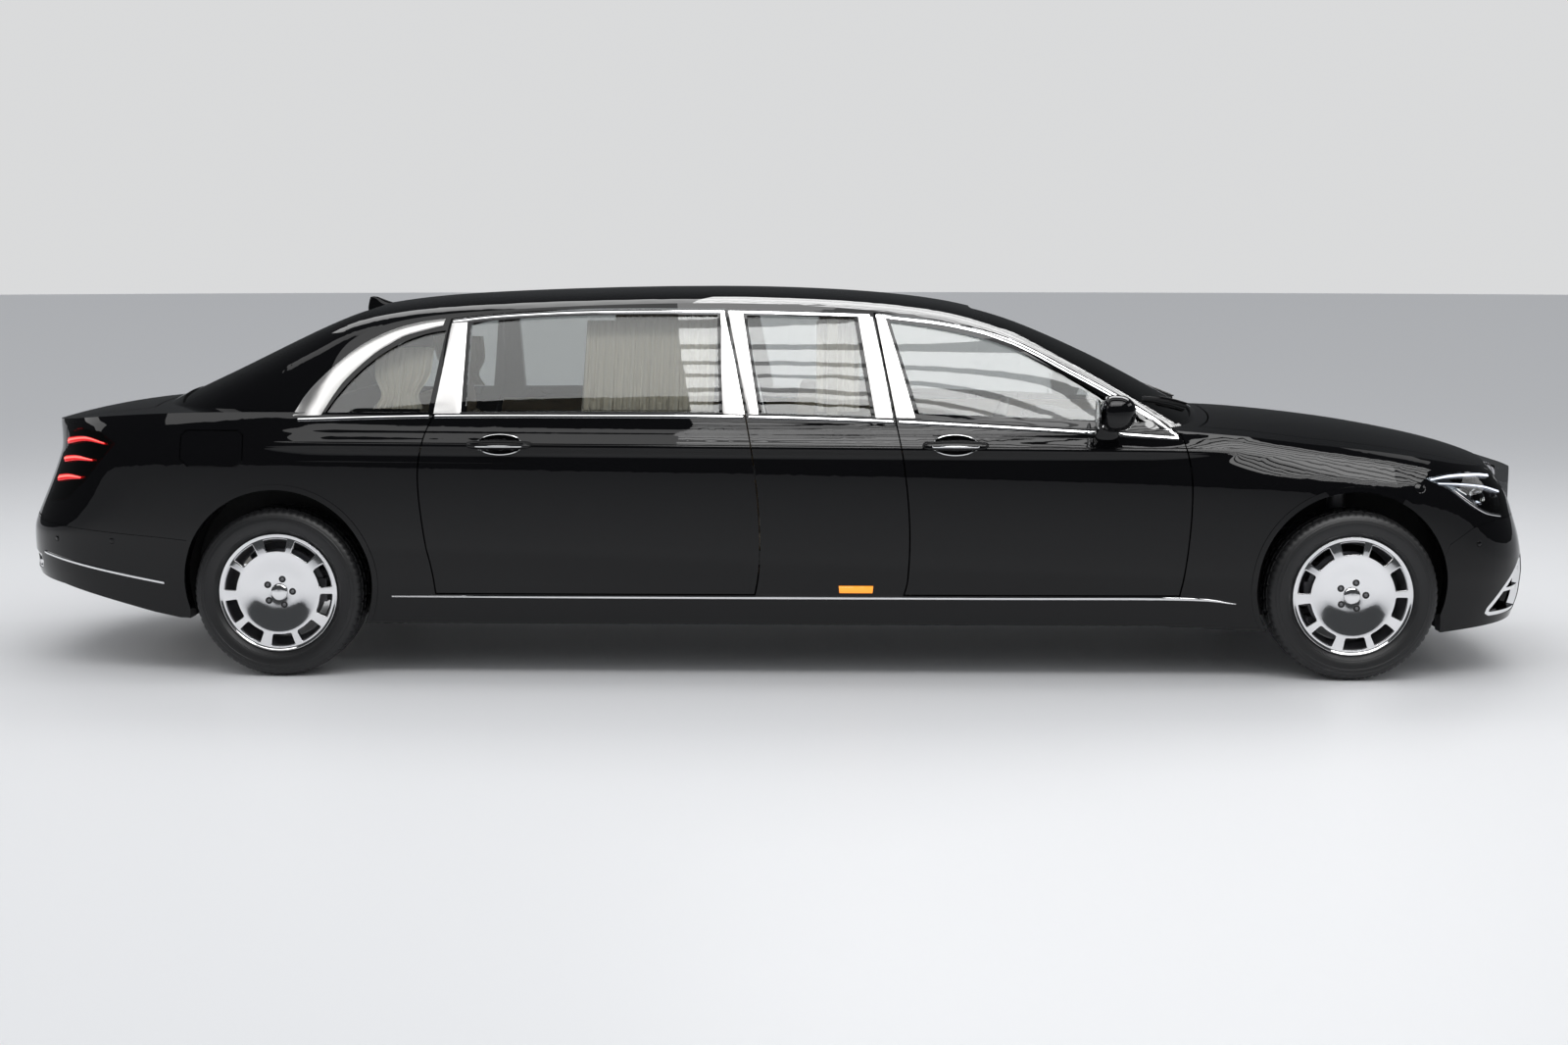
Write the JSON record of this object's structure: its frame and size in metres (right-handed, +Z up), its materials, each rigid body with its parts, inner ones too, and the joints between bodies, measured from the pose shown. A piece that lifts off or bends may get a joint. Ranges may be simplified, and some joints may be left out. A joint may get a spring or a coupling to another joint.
{
  "type": "stretch limousine",
  "caption": "Long black luxury saloon with a stretched cabin, hinged doors, bonnet and boot lid, steered front wheels and rolling wheels.",
  "frame": {"origin": "centre of the overall box at the ground, under the middle of the car", "axes": "+X forward, +Y to the car's left, +Z up"},
  "size_m": [6.4983, 2.1918, 1.5979],
  "materials": {
    "paint": "high gloss black",
    "glass": "tinted safety glass",
    "grille": "polished bars in a frame",
    "lamp_clear": "clear lens",
    "lamp_red": "red lens",
    "lamp_bowl": "bright reflector bowls and light bars",
    "underbody": "matt dark",
    "tyre": "matt rubber",
    "alloy": "polished",
    "cast": "raw",
    "exhaust": "brushed",
    "interior": "grained",
    "leather": "smooth cream"
  },
  "bodies": {
    "car": {"bumper_frames": "grille", "dashboard": "interior", "engine": "cast", "exhaust": "exhaust", "front_bumper": "paint", "front_fenders": "paint", "front_seats": "leather", "front_suspension": "cast", "grille": "grille", "headlamps": "lamp_clear", "lamp_units": "lamp_bowl", "partition": "interior", "platform": "underbody", "rear_axle": "cast", "rear_bumper": "paint", "rear_quarters": "paint", "rear_seats": "leather", "rear_window": "glass", "roof": "paint", "side_frames": "paint", "side_glass_fixed": "glass", "tail_lamps": "lamp_red", "wheel_houses": "underbody", "windscreen": "glass"},
    "bonnet": {"bonnet": "paint"},
    "boot_lid": {"boot_lid": "paint"},
    "door_front_left": {"door_front_left": "paint", "door_glass_front_left": "glass", "mirror_left": "paint"},
    "door_front_right": {"door_front_right": "paint", "door_glass_front_right": "glass", "mirror_right": "paint"},
    "door_rear_left": {"door_glass_rear_left": "glass", "door_rear_left": "paint"},
    "door_rear_right": {"door_glass_rear_right": "glass", "door_rear_right": "paint"},
    "knuckle_left": {"knuckle_left": "cast"},
    "knuckle_right": {"knuckle_right": "cast"},
    "wheel_front_left": {"rim_front_left": "alloy", "tyre_front_left": "tyre"},
    "wheel_front_right": {"rim_front_right": "alloy", "tyre_front_right": "tyre"},
    "wheel_rear_left": {"rim_rear_left": "alloy", "tyre_rear_left": "tyre"},
    "wheel_rear_right": {"rim_rear_right": "alloy", "tyre_rear_right": "tyre"},
    "steering_wheel": {"steering_wheel": "interior"}
  },
  "joints": [
    {"name": "door_front_right_hinge", "type": "hinge", "parent": "car", "child": "door_front_right", "pos_m": [1.7385, -0.9385, 0.7], "axis": [0, 0, 1], "range_deg": [0, 65]},
    {"name": "door_rear_right_hinge", "type": "hinge", "parent": "car", "child": "door_rear_right", "pos_m": [-0.0205, -0.948, 0.7], "axis": [0, 0, 1], "range_deg": [0, 65]},
    {"name": "door_front_left_hinge", "type": "hinge", "parent": "car", "child": "door_front_left", "pos_m": [1.7385, 0.9385, 0.7], "axis": [0, 0, -1], "range_deg": [0, 65]},
    {"name": "door_rear_left_hinge", "type": "hinge", "parent": "car", "child": "door_rear_left", "pos_m": [-0.0205, 0.948, 0.7], "axis": [0, 0, -1], "range_deg": [0, 65]},
    {"name": "bonnet_hinge", "type": "hinge", "parent": "car", "child": "bonnet", "pos_m": [1.8, 0, 1.072], "axis": [0, -1, 0], "range_deg": [0, 45]},
    {"name": "boot_hinge", "type": "hinge", "parent": "car", "child": "boot_lid", "pos_m": [-2.597, 0, 1.108], "axis": [0, 1, 0], "range_deg": [0, 75]},
    {"name": "steer_right", "type": "hinge", "parent": "car", "child": "knuckle_right", "pos_m": [2.4045, -0.745, 0.35], "axis": [0, 0, 1], "range_deg": [-33, 33]},
    {"name": "steer_left", "type": "hinge", "parent": "car", "child": "knuckle_left", "pos_m": [2.4045, 0.745, 0.35], "axis": [0, 0, 1], "range_deg": [-33, 33]},
    {"name": "steering_wheel_turn", "type": "hinge", "parent": "car", "child": "steering_wheel", "pos_m": [1.01, 0.385, 0.9], "axis": [-0.9135, 0, 0.4067], "range_deg": [-429, 429]},
    {"name": "wheel_front_right_spin", "type": "hinge", "parent": "knuckle_right", "child": "wheel_front_right", "pos_m": [2.4045, -0.815, 0.35], "axis": [0, 1, 0], "continuous": true},
    {"name": "wheel_rear_right_spin", "type": "hinge", "parent": "car", "child": "wheel_rear_right", "pos_m": [-2.0135, -0.815, 0.35], "axis": [0, 1, 0], "continuous": true},
    {"name": "wheel_front_left_spin", "type": "hinge", "parent": "knuckle_left", "child": "wheel_front_left", "pos_m": [2.4045, 0.815, 0.35], "axis": [0, 1, 0], "continuous": true},
    {"name": "wheel_rear_left_spin", "type": "hinge", "parent": "car", "child": "wheel_rear_left", "pos_m": [-2.0135, 0.815, 0.35], "axis": [0, 1, 0], "continuous": true}
  ],
  "couplings": [
    {"joint": "steer_left", "follows": "steer_right", "ratio": 1},
    {"joint": "steering_wheel_turn", "follows": "steer_right", "ratio": 13}
  ]
}
